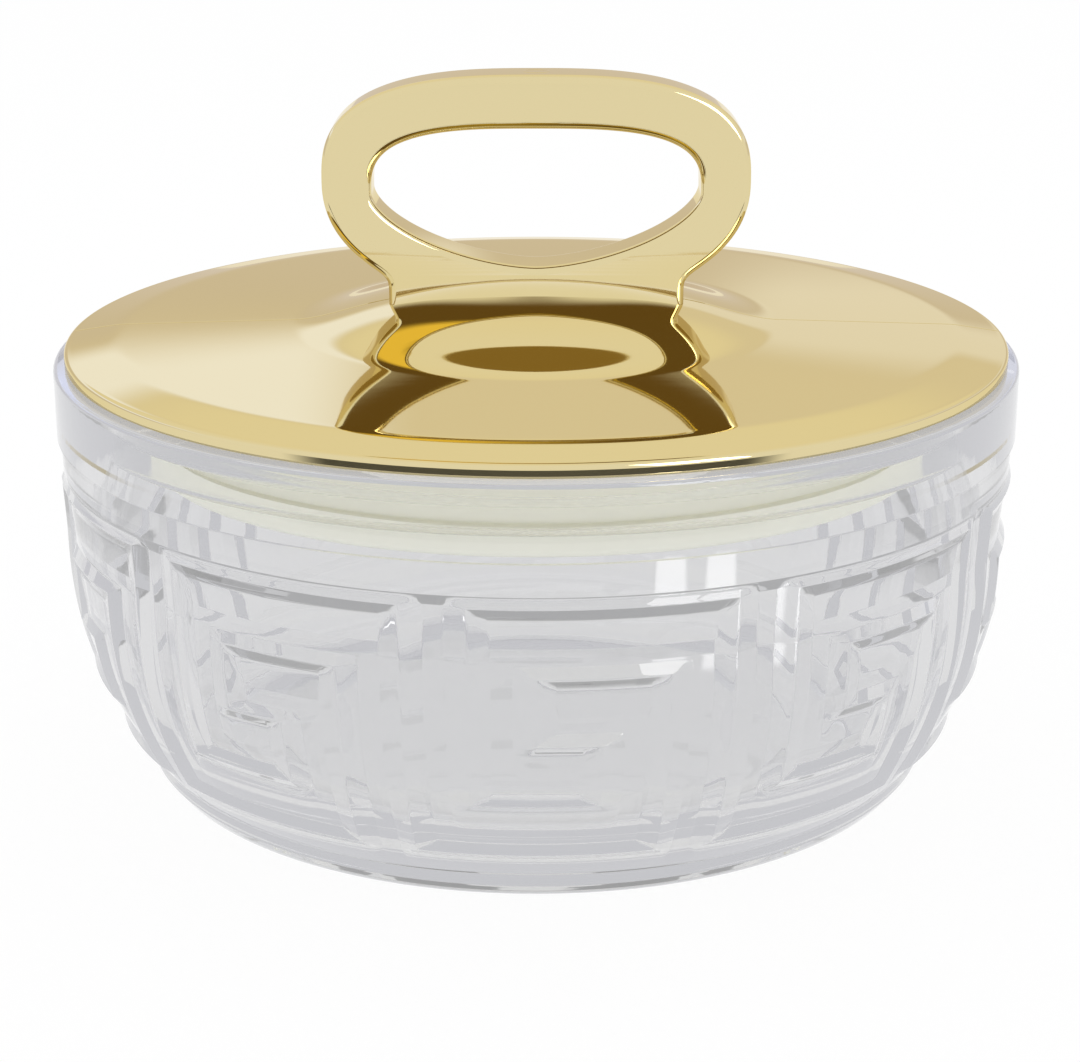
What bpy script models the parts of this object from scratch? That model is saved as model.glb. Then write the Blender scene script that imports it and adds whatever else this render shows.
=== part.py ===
# Powder jar: a clear moulded bowl with a key relief, and a plated lid with a loop handle.
# Metres, +Z up. The origin is the middle of the base, on the surface that the jar stands on.

import math

import bmesh
import bpy
import numpy as np

# Bowl
RIM_RADIUS = 0.0650          # outside of the plain band at the mouth
BOWL_HEIGHT = 0.0582         # base to the flat top of the rim
RIM_WALL = 0.0040            # wall thickness at the mouth
RIM_ROUND = 0.0006           # rounding of the rim's outer edge
RIM_BAND_HEIGHT = 0.0092     # plain band below the rim
RIM_BAND_STEP = 0.0004       # how far that band stands proud of the groove below it
BELLY_DROP = 0.0220          # rim to where the wall starts to curve in
WALL_TAPER = 0.00065         # draft of the wall between the band and the belly
BELLY_INSET = 0.0126         # how far the belly would turn in by the level of the table
BELLY_POWER = 2.43           # how late and how sharply the belly turns in
FOOT_RADIUS = 0.0498         # outside of the foot
FOOT_ROUND = 0.0020          # the wall ends this far above the table
FLOOR_THICKNESS = 0.0050     # inside floor above the table
FLOOR_INSET = 0.0190         # flat floor ends this far inside the foot
CORNER_POWER = 3.0           # squareness of the inside corner
FOOT_RIM_WIDTH = 0.0045      # ring that the bowl stands on
FOOT_RECESS = 0.0010         # hollow under the base, inside that ring

# Key relief: one raised line that winds round the bowl as a square key, with sunk channels between
KEY_UNITS = 10
KEY_DROP = 0.0150            # rim to the top of the key, along the wall
KEY_FOOT_GAP = 0.0055        # shoulder below the key to the table, along the wall
KEY_RING = 0.0070            # groove between the key and that shoulder
KEY_DEPTH = 0.0008           # depth of the channels below the line
KEY_UPPER_FLANK = 0.0014     # width of the slope above the line
KEY_LOWER_FLANK = 0.0052     # width of the slope below the line
KEY_STRIP = 0.0015           # upper, steeper part of the slope below the line
KEY_STRIP_DROP = 0.55        # part of the depth that the steeper part takes
KEY_ROWS = ("#....", "#.##.", "#..#.", "####.")   # the line runs between the two kinds of cell
STEPS_PER_CELL = 3           # the slopes beside the line take one step each
CELLS_BEFORE_FRONT = 2       # whole cells of the first unit to the left of the front

# Lid and handle, one moulding
LID_SETBACK = 0.0015         # lid edge inside the rim's outside
LID_GAP = 0.0003             # lid to rim, where it rests
LID_EDGE = 0.0016            # height of the edge
LID_EDGE_ROUND = 0.0006
LID_RISE = 0.0034            # cone from the edge to the middle
LID_WALL = 0.0020
MOUND_TOP_RADIUS = 0.0160    # swelling that carries the handle
MOUND_FOOT_RADIUS = 0.0310
MOUND_HEIGHT = 0.0025
SPIGOT_WALL = 0.0020         # ring under the lid that holds the plug
SPIGOT_LENGTH = 0.0050
HANDLE_WIDTH = 0.0570
HANDLE_THICKNESS = 0.0080
HANDLE_RISE = 0.0294         # top of the loop above the middle of the lid
HANDLE_ROUND = 0.0010        # rounding of the loop's long edges
LOOP_SINK = 0.0015           # the loop's own curve would end this far inside the lid
LOOP_WIDEST = 0.54           # level of the loop's widest point, as a part of its height
LOOP_TOP_POWER = 2.8
LOOP_BASE_POWER = 2.2
NECK_WIDTH = 0.0396
NECK_SOFTNESS = 22           # higher is a sharper corner between loop and neck
SIDE_BAR = 0.0066
TOP_BAR = 0.0071
BASE_BAR = 0.0038
OPENING_WIDEST = 0.535       # level of the opening's widest point, as a part of its height
OPENING_TOP_POWER = 3.1
OPENING_BASE_POWER = 1.65
OUTLINE_STEPS = 25           # points on one side of the loop and of the opening

# Plug and its seal
SEAL_SPACE = 0.0053          # plug to bowl wall, bridged by the seal's lips
PLUG_DEPTH = 0.0120          # plug below the lid's lower edge
PLUG_SKIRT = 0.0022
PLUG_FLOOR = 0.0018
PLUG_ROUND = 0.0010
PLUG_GAP = 0.0003            # plug to spigot and to the lid
GROOVE_DEPTH = 0.0009
GROOVE_TOP = 0.0035          # lid's lower edge to the top of the groove
GROOVE_HEIGHT = 0.0050
SEAL_GAP = 0.0003            # seal to its groove and to the bowl wall
SEAL_BODY = 0.0014
LIP_ROOT = 0.0010
LIP_TIP = 0.0006
LIP_LIFT = 0.0008            # the lips turn up towards their tips

# Fineness
ROUND_STEPS = 56             # sides of the turned pieces
EDGE_POINTS = 3              # points on a rounded edge
CORNER_POINTS = 8            # points on the bowl's inside corner
WALL_SAMPLES = 600           # close points down the bowl's wall, to measure distances along it
SHARP_ANGLE = 15             # degrees: steeper edges are shaded as real edges

# Sizes that follow from the ones above
INNER_RADIUS = RIM_RADIUS - RIM_WALL
BELLY_Z = BOWL_HEIGHT - BELLY_DROP
BELLY_RADIUS = RIM_RADIUS - WALL_TAPER
FLOOR_RADIUS = FOOT_RADIUS - FLOOR_INSET
LID_Z = BOWL_HEIGHT + LID_GAP
LID_RADIUS = RIM_RADIUS - LID_SETBACK
LID_TOP_Z = LID_Z + LID_EDGE + LID_RISE + MOUND_HEIGHT
PLUG_RADIUS = INNER_RADIUS - SEAL_SPACE
SPIGOT_RADIUS = PLUG_RADIUS - PLUG_SKIRT - PLUG_GAP
HANDLE_TOP_Z = LID_TOP_Z + HANDLE_RISE

JAR = "powder_jar"


def material(name, color, roughness, metallic=0.0, transmission=0.0):
    """A plain Principled material."""
    mat = bpy.data.materials.new(name)
    mat.use_nodes = True
    shader = mat.node_tree.nodes["Principled BSDF"]
    shader.inputs["Base Color"].default_value = (*color, 1.0)
    shader.inputs["Roughness"].default_value = roughness
    shader.inputs["Metallic"].default_value = metallic
    shader.inputs["Transmission Weight"].default_value = transmission
    return mat


def add_object(name, mesh, mat, collection):
    """Put a mesh into a collection as a named object with one material."""
    obj = bpy.data.objects.new(name, mesh)
    mesh.materials.clear()
    mesh.materials.append(mat)
    collection.objects.link(obj)
    return obj


def smooth(mesh):
    """Shade round faces smooth and keep the real edges sharp."""
    mesh.shade_smooth()
    mesh.set_sharp_from_angle(angle=math.radians(SHARP_ANGLE))


def profile_mesh(name, points, closed=False):
    """A chain of edges in the XZ plane, to be turned about Z."""
    count = len(points)
    edges = [(i, i + 1) for i in range(count - 1)]
    if closed:
        edges.append((count - 1, 0))
    mesh = bpy.data.meshes.new(name)
    mesh.from_pydata([(r, 0.0, z) for r, z in points], edges, [])
    return mesh


def turned(name, points, steps, mat, collection, closed=False):
    """An object turned from a profile that runs down its outer side."""
    obj = add_object(name, profile_mesh(name, points, closed), mat, collection)
    screw = obj.modifiers.new("Turn", 'SCREW')
    screw.axis = 'Z'
    screw.angle = math.tau
    screw.steps = steps
    screw.render_steps = steps
    screw.use_merge_vertices = True
    screw.merge_threshold = 1e-5
    screw.use_smooth_shade = True
    return obj


def applied(obj):
    """Replace an object's data with its evaluated, welded mesh."""
    graph = bpy.context.evaluated_depsgraph_get()
    mesh = bpy.data.meshes.new_from_object(obj.evaluated_get(graph))
    bm = bmesh.new()
    bm.from_mesh(mesh)
    bmesh.ops.remove_doubles(bm, verts=bm.verts, dist=1e-6)
    bm.to_mesh(mesh)
    bm.free()
    return mesh


def arc(centre, radius, start, end, count):
    """Points on an arc, angles in degrees, ends included."""
    angles = np.radians(np.linspace(start, end, count))
    return [(centre[0] + radius * math.cos(a), centre[1] + radius * math.sin(a)) for a in angles]


# The bowl's walls

def belly_radius(z):
    """Outside radius of the wall below the plain band, at the level of the key's line."""
    if z >= BELLY_Z:
        return BELLY_RADIUS + WALL_TAPER * (z - BELLY_Z) / (BELLY_DROP - RIM_BAND_HEIGHT)
    turn_in = (BELLY_Z - z) / BELLY_Z
    return BELLY_RADIUS - BELLY_INSET * turn_in ** BELLY_POWER


def wall_samples():
    """The outside wall as close points: distance along it from the rim plane, radius, height."""
    z = np.linspace(BOWL_HEIGHT, FOOT_ROUND, WALL_SAMPLES)
    r = np.array([belly_radius(value) for value in z])
    length = np.concatenate([[0.0], np.cumsum(np.hypot(np.diff(z), np.diff(r)))])
    return length, r, z


def key_levels(wall_length):
    """Distances along the wall of every level that the relief needs, and of the key's row edges."""
    shoulder = wall_length - KEY_FOOT_GAP + FOOT_ROUND
    edges = np.linspace(KEY_DROP, shoulder - KEY_RING, len(KEY_ROWS) + 1)
    levels = [RIM_BAND_HEIGHT + RIM_BAND_STEP]
    for edge in edges:
        levels.extend([edge - KEY_UPPER_FLANK, edge, edge + KEY_STRIP, edge + KEY_LOWER_FLANK])
    levels[-1] = shoulder - KEY_UPPER_FLANK
    levels.extend([shoulder, wall_length])
    return levels, edges


def inside_wall():
    """The smooth inside, from the middle of the floor up to the mouth."""
    depth = BELLY_Z - FLOOR_THICKNESS
    spread = INNER_RADIUS - FLOOR_RADIUS
    points = []
    for angle in np.radians(np.linspace(0.0, 90.0, CORNER_POINTS)):
        across = math.sin(angle) ** (2 / CORNER_POWER)
        down = math.cos(angle) ** (2 / CORNER_POWER)
        points.append((FLOOR_RADIUS + spread * across, BELLY_Z - depth * down))
    return points


def rim_points():
    """The rounded rim and the plain band below it."""
    points = arc((RIM_RADIUS - RIM_ROUND, BOWL_HEIGHT - RIM_ROUND), RIM_ROUND, 90, 0, EDGE_POINTS)
    points.append((RIM_RADIUS, BOWL_HEIGHT - RIM_BAND_HEIGHT))
    return points


def hollow_points():
    """The inside of the ring that the bowl stands on, and the edge of the hollow in it."""
    ring_inside = FOOT_RADIUS - FOOT_RIM_WIDTH
    return [(ring_inside, 0.0), (ring_inside - FOOT_RECESS, FOOT_RECESS)]


# The key's line and its channels

def key_lines():
    """Straight pieces of the line, counted in cells: left, right, top and bottom of each."""
    cells = len(KEY_ROWS[0])
    rows = ["#" * cells, *KEY_ROWS, "." * cells]
    lines = []
    for turn in (-cells, 0, cells):
        for column in range(cells):
            left = turn + column
            for edge in range(len(KEY_ROWS) + 1):
                if rows[edge][column] != rows[edge + 1][column]:
                    lines.append((left, left + 1, edge, edge))
            for row, marks in enumerate(KEY_ROWS):
                if marks[column - 1] != marks[column]:
                    lines.append((left, left, row, row + 1))
    return lines


def key_depth(column, distance, edges, lines):
    """Depth below the line's level at a column counted in cells and a distance along the wall."""
    if distance < edges[0]:
        return RIM_BAND_STEP
    pitch = edges[1] - edges[0]
    depth = 1.0
    for left, right, top, bottom in lines:
        side = max(left - column, column - right, 0.0) * STEPS_PER_CELL
        above = (edges[0] + top * pitch - distance) / KEY_UPPER_FLANK
        below = distance - edges[0] - bottom * pitch
        drop = np.interp(below, (0.0, KEY_STRIP, KEY_LOWER_FLANK), (0.0, KEY_STRIP_DROP, 1.0))
        depth = min(depth, max(side, above, drop))
    return depth * KEY_DEPTH


# The bowl's skin, from rings of points

def ring(bm, radii, heights):
    """A closed ring of points, one for each radius, from the left edge of the front unit."""
    start = -CELLS_BEFORE_FRONT * math.tau / (KEY_UNITS * len(KEY_ROWS[0]))
    angles = start + np.linspace(0.0, math.tau, len(radii), endpoint=False)
    places = zip(radii * np.sin(angles), -radii * np.cos(angles), heights)
    return [bm.verts.new(place) for place in places]


def plain_rings(bm, points, count):
    """Rings of one radius and one height each."""
    return [ring(bm, np.full(count, r), np.full(count, z)) for r, z in points]


def relief_rings(bm, count, depth_at):
    """Rings down the wall, sunk square to the wall by the depth of the relief."""
    length, r, z = wall_samples()
    lean = np.arctan2(-np.gradient(r), -np.gradient(z))
    levels, edges = key_levels(length[-1])
    lines = key_lines()
    rings = []
    for distance in levels:
        depths = np.zeros(count)
        if distance < levels[-2]:
            columns = np.arange(count) / STEPS_PER_CELL % len(KEY_ROWS[0])
            depths = np.array([key_depth(column, distance, edges, lines) for column in columns])
        tilt = np.interp(distance, length, lean)
        radii = np.interp(distance, length, r) - depths * math.cos(tilt)
        heights = np.interp(distance, length, z) + depths * math.sin(tilt)
        rings.append(ring(bm, radii, heights))
        depth_at.update(zip(rings[-1], depths))
    return rings


def join_rings(bm, rings, depth_at):
    """Join each ring to the next. A square that bends is split along its steeper diagonal."""
    for first, second in zip(rings[:-1], rings[1:]):
        small, large = sorted((first, second), key=len)
        part = len(large) // len(small)
        for i in range(len(small)):
            far = [large[(part * i + k) % len(large)] for k in range(part, -1, -1)]
            face = bm.faces.new([small[i], small[(i + 1) % len(small)], *far])
            if len(face.verts) > 4:
                continue
            a, b, c, d = face.verts
            bend = [abs(depth_at.get(u, 0.0) - depth_at.get(v, 0.0)) for u, v in ((a, c), (b, d))]
            if max(bend) > 0.0:
                ends = (a, c) if bend[0] > bend[1] else (b, d)
                bmesh.utils.face_split(face, *ends)


def build_bowl(collection):
    """The clear bowl: a smooth inside, and an outside with the key's line and channels."""
    clear = material("clear_wall", (0.93, 0.93, 0.96), 0.03, transmission=0.9)
    inside_steps = KEY_UNITS * len(KEY_ROWS[0])
    outside_steps = inside_steps * STEPS_PER_CELL
    bm = bmesh.new()
    depth_at = {}
    rings = plain_rings(bm, inside_wall() + [(INNER_RADIUS, BOWL_HEIGHT)], inside_steps)
    rings += plain_rings(bm, rim_points(), outside_steps)
    rings += relief_rings(bm, outside_steps, depth_at)
    rings += plain_rings(bm, [(FOOT_RADIUS, 0.0)], outside_steps)
    rings += plain_rings(bm, hollow_points(), inside_steps)
    join_rings(bm, rings, depth_at)
    bm.faces.new(rings[0])
    bm.faces.new(rings[-1])
    bmesh.ops.recalc_face_normals(bm, faces=bm.faces)
    mesh = bpy.data.meshes.new("bowl")
    bm.to_mesh(mesh)
    bm.free()
    smooth(mesh)
    return add_object("bowl", mesh, clear, collection)


# The lid and its handle

def cone_z(r):
    """Top of the plain cone of the lid."""
    return LID_Z + LID_EDGE + LID_RISE * (1 - r / LID_RADIUS)


def lid_top_z(r):
    """Top of the lid: the cone, and the swelling that carries the handle."""
    t = min(max((r - MOUND_TOP_RADIUS) / (MOUND_FOOT_RADIUS - MOUND_TOP_RADIUS), 0.0), 1.0)
    return cone_z(r) + MOUND_HEIGHT * 0.5 * (1 + math.cos(math.pi * t))


def lid_profile():
    """The shell from the middle of its top to the middle of its underside."""
    plain_edge = LID_RADIUS - LID_EDGE_ROUND
    radii = np.concatenate([
        [0.0, 0.5 * MOUND_TOP_RADIUS],
        np.linspace(MOUND_TOP_RADIUS, MOUND_FOOT_RADIUS, 8),
        [0.5 * (MOUND_FOOT_RADIUS + plain_edge)],
    ])
    points = [(r, lid_top_z(r)) for r in radii]
    edge_top = lid_top_z(plain_edge) - LID_EDGE_ROUND
    points.extend(arc((plain_edge, edge_top), LID_EDGE_ROUND, 90, 0, EDGE_POINTS))
    points.append((LID_RADIUS, LID_Z + 0.5 * LID_EDGE_ROUND))
    points.append((LID_RADIUS - 0.5 * LID_EDGE_ROUND, LID_Z))
    points.append((SPIGOT_RADIUS, LID_Z))
    points.append((SPIGOT_RADIUS, LID_Z - SPIGOT_LENGTH))
    spigot_inside = SPIGOT_RADIUS - SPIGOT_WALL
    points.append((spigot_inside, LID_Z - SPIGOT_LENGTH))
    points.append((spigot_inside, max(LID_Z, cone_z(spigot_inside) - LID_WALL)))
    points.append((0.0, cone_z(0.0) - LID_WALL))
    return points


def oval_side(half_width, top_z, bottom_z, widest, top_power, base_power):
    """Right side of a rounded outline from top to bottom, squarer where the power is higher."""
    widest_z = bottom_z + widest * (top_z - bottom_z)
    points = []
    for angle in np.radians(np.linspace(90, -90, OUTLINE_STEPS)):
        above = angle >= 0
        half_height = top_z - widest_z if above else bottom_z - widest_z
        power = top_power if above else base_power
        x = half_width * abs(math.cos(angle)) ** (2 / power)
        z = widest_z + half_height * abs(math.sin(angle)) ** (2 / power)
        points.append((x, z))
    return points


def mirrored(right_side):
    """Close an outline from its right side, which runs from top to bottom."""
    left_side = [(-x, z) for x, z in reversed(right_side) if x > 1e-6]
    return right_side + left_side


def handle_outline():
    """The loop and its neck, down into the lid."""
    neck = 0.5 * NECK_WIDTH
    loop = oval_side(0.5 * HANDLE_WIDTH, HANDLE_TOP_Z, LID_TOP_Z - LOOP_SINK, LOOP_WIDEST,
                     LOOP_TOP_POWER, LOOP_BASE_POWER)
    upper = loop[:OUTLINE_STEPS // 2]
    lower = []
    for x, z in loop[OUTLINE_STEPS // 2:]:
        lower.append(((x ** NECK_SOFTNESS + neck ** NECK_SOFTNESS) ** (1 / NECK_SOFTNESS), z))
    return mirrored(upper + lower + [(neck, cone_z(neck))])


def opening_outline():
    """The finger opening, flatter at the top than at the bottom."""
    return mirrored(oval_side(0.5 * HANDLE_WIDTH - SIDE_BAR, HANDLE_TOP_Z - TOP_BAR, LID_TOP_Z + BASE_BAR,
                              OPENING_WIDEST, OPENING_TOP_POWER, OPENING_BASE_POWER))


def handle_mesh(collection, mat):
    """The loop handle: a filled outline with its opening, given thickness and round edges."""
    curve = bpy.data.curves.new("handle_outline", 'CURVE')
    curve.dimensions = '2D'
    curve.fill_mode = 'BOTH'
    curve.extrude = 0.5 * HANDLE_THICKNESS - HANDLE_ROUND
    curve.bevel_depth = HANDLE_ROUND
    curve.bevel_resolution = 1
    curve.offset = -HANDLE_ROUND
    for outline in (handle_outline(), opening_outline()):
        spline = curve.splines.new('POLY')
        spline.points.add(len(outline) - 1)
        for point, (x, z) in zip(spline.points, outline):
            point.co = (x, z, 0.0, 1.0)
        spline.use_cyclic_u = True
    obj = bpy.data.objects.new("handle_outline", curve)
    collection.objects.link(obj)
    mesh = applied(obj)
    bpy.data.objects.remove(obj)
    stand = add_object("handle_blank", mesh, mat, collection)
    stand.rotation_euler = (math.radians(90), 0.0, 0.0)
    return stand


def build_lid(collection, cutters):
    """The plated lid: a turned shell and its loop handle, moulded in one."""
    plated = material("plated_gold", (0.83, 0.66, 0.30), 0.06, metallic=1.0)
    lid = turned("lid", lid_profile(), ROUND_STEPS, plated, collection)
    handle = handle_mesh(cutters, plated)
    handle.hide_render = True
    handle.display_type = 'WIRE'
    union = lid.modifiers.new("Handle", 'BOOLEAN')
    union.operation = 'UNION'
    union.solver = 'EXACT'
    union.object = handle
    return lid


# The plug and its seal

def plug_profile():
    """A pan that hangs under the lid, with a groove for the seal round its skirt."""
    bottom = LID_Z - PLUG_DEPTH
    top = LID_Z - PLUG_GAP
    groove_top = LID_Z - GROOVE_TOP
    groove_bottom = groove_top - GROOVE_HEIGHT
    inner = PLUG_RADIUS - PLUG_SKIRT
    points = [(0.0, bottom + PLUG_FLOOR), (inner, bottom + PLUG_FLOOR), (inner, top), (PLUG_RADIUS, top)]
    points.append((PLUG_RADIUS, groove_top))
    points.append((PLUG_RADIUS - GROOVE_DEPTH, groove_top))
    points.append((PLUG_RADIUS - GROOVE_DEPTH, groove_bottom))
    points.append((PLUG_RADIUS, groove_bottom))
    points.extend(arc((PLUG_RADIUS - PLUG_ROUND, bottom + PLUG_ROUND), PLUG_ROUND, 0, -90, EDGE_POINTS))
    points.append((0.0, bottom))
    return points


def seal_profile():
    """A soft band in the groove, with an upper and a lower lip that reach for the wall."""
    inner = PLUG_RADIUS - GROOVE_DEPTH + SEAL_GAP
    body = inner + SEAL_BODY
    tip = INNER_RADIUS - SEAL_GAP
    top = LID_Z - GROOVE_TOP - SEAL_GAP
    bottom = top - GROOVE_HEIGHT + 2 * SEAL_GAP
    upper_tip = top - LIP_ROOT + LIP_LIFT
    lower_tip = bottom + LIP_LIFT
    return [
        (inner, top),
        (body, top),
        (tip, upper_tip + LIP_TIP),
        (tip, upper_tip),
        (body, top - LIP_ROOT),
        (body, bottom + LIP_ROOT),
        (tip, lower_tip + LIP_TIP),
        (tip, lower_tip),
        (body, bottom),
        (inner, bottom),
    ]


def main():
    for obj in list(bpy.data.objects):
        bpy.data.objects.remove(obj)
    jar = bpy.data.collections.new(JAR)
    cutters = bpy.data.collections.new(JAR + "_cutters")
    for collection in (jar, cutters):
        bpy.context.scene.collection.children.link(collection)
    build_bowl(jar)
    build_lid(jar, cutters)
    ivory = material("ivory_plug", (0.72, 0.72, 0.64), 0.35)
    turned("lid_plug", plug_profile(), ROUND_STEPS, ivory, jar)
    soft = material("clear_seal", (0.86, 0.86, 0.84), 0.25, transmission=0.7)
    turned("seal_ring", seal_profile(), ROUND_STEPS, soft, jar, closed=True)


main()
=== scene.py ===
# %% [markdown]
# # Powder jar
# A clear moulded bowl with a raised square key line, closed by a gold plated lid with a loop handle.
# An ivory plug and a soft clear seal hang under the lid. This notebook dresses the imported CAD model:
# every piece is built in metres in the CAD's own frame, and rides on the CAD body that carries it.

import math

import bmesh
import bpy
import numpy as np
from mathutils import Matrix, Vector


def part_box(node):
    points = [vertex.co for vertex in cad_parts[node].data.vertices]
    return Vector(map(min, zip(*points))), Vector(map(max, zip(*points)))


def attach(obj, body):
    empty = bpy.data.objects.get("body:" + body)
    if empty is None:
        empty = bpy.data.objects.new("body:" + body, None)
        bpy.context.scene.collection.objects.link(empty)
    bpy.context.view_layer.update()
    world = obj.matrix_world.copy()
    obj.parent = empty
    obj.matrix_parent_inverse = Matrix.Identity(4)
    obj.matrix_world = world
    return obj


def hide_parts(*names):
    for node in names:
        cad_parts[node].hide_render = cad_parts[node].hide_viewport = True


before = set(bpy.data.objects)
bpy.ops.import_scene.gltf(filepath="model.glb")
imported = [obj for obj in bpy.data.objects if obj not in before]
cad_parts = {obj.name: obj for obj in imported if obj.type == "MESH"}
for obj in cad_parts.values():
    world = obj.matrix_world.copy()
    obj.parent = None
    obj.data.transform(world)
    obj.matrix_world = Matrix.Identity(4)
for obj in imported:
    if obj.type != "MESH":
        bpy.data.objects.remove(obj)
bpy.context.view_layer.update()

# %% [markdown]
# ## Sizes taken from the frame
# A piece that replaces a CAD node has to sit exactly where that node is. What can be read off the
# node's box is read, so the looks follow the CAD if it changes. Smaller sizes are named where they are
# first needed. The bowl's widest points lie on its front and back, so its radius is read along Y.

# %% Sizes
bowl_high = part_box("bowl")[1]
lid_low, lid_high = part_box("lid")
plug_low, plug_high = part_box("lid_plug")
seal_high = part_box("seal_ring")[1]

RIM_RADIUS = bowl_high[1]
BOWL_HEIGHT = bowl_high[2]
LID_RADIUS = lid_high[0]
HANDLE_TOP = lid_high[2]
LID_GAP = 0.0003
LID_Z = BOWL_HEIGHT + LID_GAP
PLUG_RADIUS = plug_high[0]
PLUG_BOTTOM = plug_low[2]
PLUG_TOP = plug_high[2]
SEAL_TIP = seal_high[0]
print(f"rim {RIM_RADIUS:.4f}, bowl height {BOWL_HEIGHT:.4f}, lid {LID_RADIUS:.4f}, top {HANDLE_TOP:.4f}")

# %% [markdown]
# ## Helpers for round pieces
# The bowl, the lid, the plug and the seal are all turned shapes. A Screw modifier could sweep each
# profile, but the bowl's wall needs its own radius at every angle for the relief. So one small function
# serves all four: it takes rings of points and joins each ring to the next with quads. A ring of no
# radius becomes a single point, which closes the shape on the axis.

# %% Ring builder
JOIN_DISTANCE = 1e-7


def ring_mesh(name, rings, angles):
    """Mesh from rings of (radii, heights), one value for a plain ring or one for each angle."""
    bm = bmesh.new()
    rows = []
    for radii, heights in rings:
        radii = np.broadcast_to(radii, angles.shape)
        heights = np.broadcast_to(heights, angles.shape)
        if radii.max() == 0.0:
            rows.append([bm.verts.new((0.0, 0.0, heights[0]))])
            continue
        places = zip(radii * np.sin(angles), -radii * np.cos(angles), heights)
        rows.append([bm.verts.new(place) for place in places])
    count = len(angles)
    for above, below in zip(rows[:-1], rows[1:]):
        for i in range(count):
            j = (i + 1) % count
            corners = [above[i % len(above)], below[i % len(below)]]
            corners += [below[j % len(below)], above[j % len(above)]]
            bm.faces.new(dict.fromkeys(corners))
    bmesh.ops.remove_doubles(bm, verts=bm.verts, dist=JOIN_DISTANCE)
    bmesh.ops.recalc_face_normals(bm, faces=bm.faces)
    mesh = bpy.data.meshes.new(name)
    bm.to_mesh(mesh)
    bm.free()
    return mesh


def even_angles(count):
    """Angles round the axis, the first one at the front."""
    return np.linspace(0.0, math.tau, count, endpoint=False)


def arc(centre, radius, start, end, count):
    """Points (r, z) on an arc, angles in degrees, ends included."""
    turn = np.radians(np.linspace(start, end, count))
    return list(zip(centre[0] + radius * np.cos(turn), centre[1] + radius * np.sin(turn)))


print("round pieces:", ring_mesh.__name__, even_angles.__name__, arc.__name__)

# %% [markdown]
# ## Putting a piece in its place
# Each piece has to follow the joint of the body that carries it and take the place of the CAD node that
# it shows. These steps always come together, so they sit in one function, with the finish and the
# shading: round faces smooth, real edges sharp.

# %% Piece helper
SHARP_ANGLE = math.radians(38)


def add_piece(name, mesh, finish, body, node, slot):
    """Show a mesh as a piece that rides on a body and stands for a CAD node."""
    piece = bpy.data.objects.new(name, mesh)
    bpy.context.scene.collection.objects.link(piece)
    mesh.materials.clear()
    mesh.materials.append(finish)
    mesh.shade_smooth()
    mesh.set_sharp_from_angle(angle=SHARP_ANGLE)
    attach(piece, body)
    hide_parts(node)
    print(f"{name}: {len(mesh.polygons)} faces, rides on {body}")
    return piece


print("pieces are placed by", add_piece.__name__)

# %% [markdown]
# ## Handling marks, shared by every finish
# No moulded surface is perfectly even: faint cloudy patches and fine wiping marks change its gloss. An
# image of scratches could do it, but it would need unwrapping and would stretch. Two noise textures in
# object space have no seams. The effect is the same on plating, clear plastic and rubber, and only its
# strength differs, so it is one node group with a roughness and a height as its outputs.

# %% Node group: handling marks
NOISE_MIDDLE = 0.5


def make_handling_marks():
    """Node group: cloudy patches for the roughness, and fine marks for a bump height."""
    group = bpy.data.node_groups.new("HandlingMarks", 'ShaderNodeTree')
    for label in ("Base Roughness", "Spread", "Patch Scale", "Mark Scale"):
        group.interface.new_socket(label, in_out='INPUT', socket_type='NodeSocketFloat')
    for label in ("Roughness", "Height"):
        group.interface.new_socket(label, in_out='OUTPUT', socket_type='NodeSocketFloat')
    nodes = group.nodes
    link = group.links.new
    enter = nodes.new('NodeGroupInput')
    leave = nodes.new('NodeGroupOutput')
    place = nodes.new('ShaderNodeTexCoord')
    patches = nodes.new('ShaderNodeTexNoise')
    marks = nodes.new('ShaderNodeTexNoise')
    centred = nodes.new('ShaderNodeMath')
    centred.operation = 'SUBTRACT'
    centred.inputs[1].default_value = NOISE_MIDDLE
    spread = nodes.new('ShaderNodeMath')
    spread.operation = 'MULTIPLY_ADD'
    for noise, scale in ((patches, "Patch Scale"), (marks, "Mark Scale")):
        link(place.outputs["Object"], noise.inputs["Vector"])
        link(enter.outputs[scale], noise.inputs["Scale"])
    link(patches.outputs["Fac"], centred.inputs[0])
    link(centred.outputs[0], spread.inputs[0])
    link(enter.outputs["Spread"], spread.inputs[1])
    link(enter.outputs["Base Roughness"], spread.inputs[2])
    link(spread.outputs[0], leave.inputs["Roughness"])
    link(marks.outputs["Fac"], leave.inputs["Height"])
    return group


handling_marks = make_handling_marks()
print("node group", handling_marks.name)

# %% [markdown]
# ## A finish with those marks
# Every finish of the jar starts from the same three nodes: the Principled shader, the handling marks
# and a Bump node between them. Copies of one material would drift apart, so a function sets the three up
# and takes the strength of the marks. Colour, metal and clearness are set on the shader afterwards.

# %% Finish helper
MARK_HEIGHT = 0.0001


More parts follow.
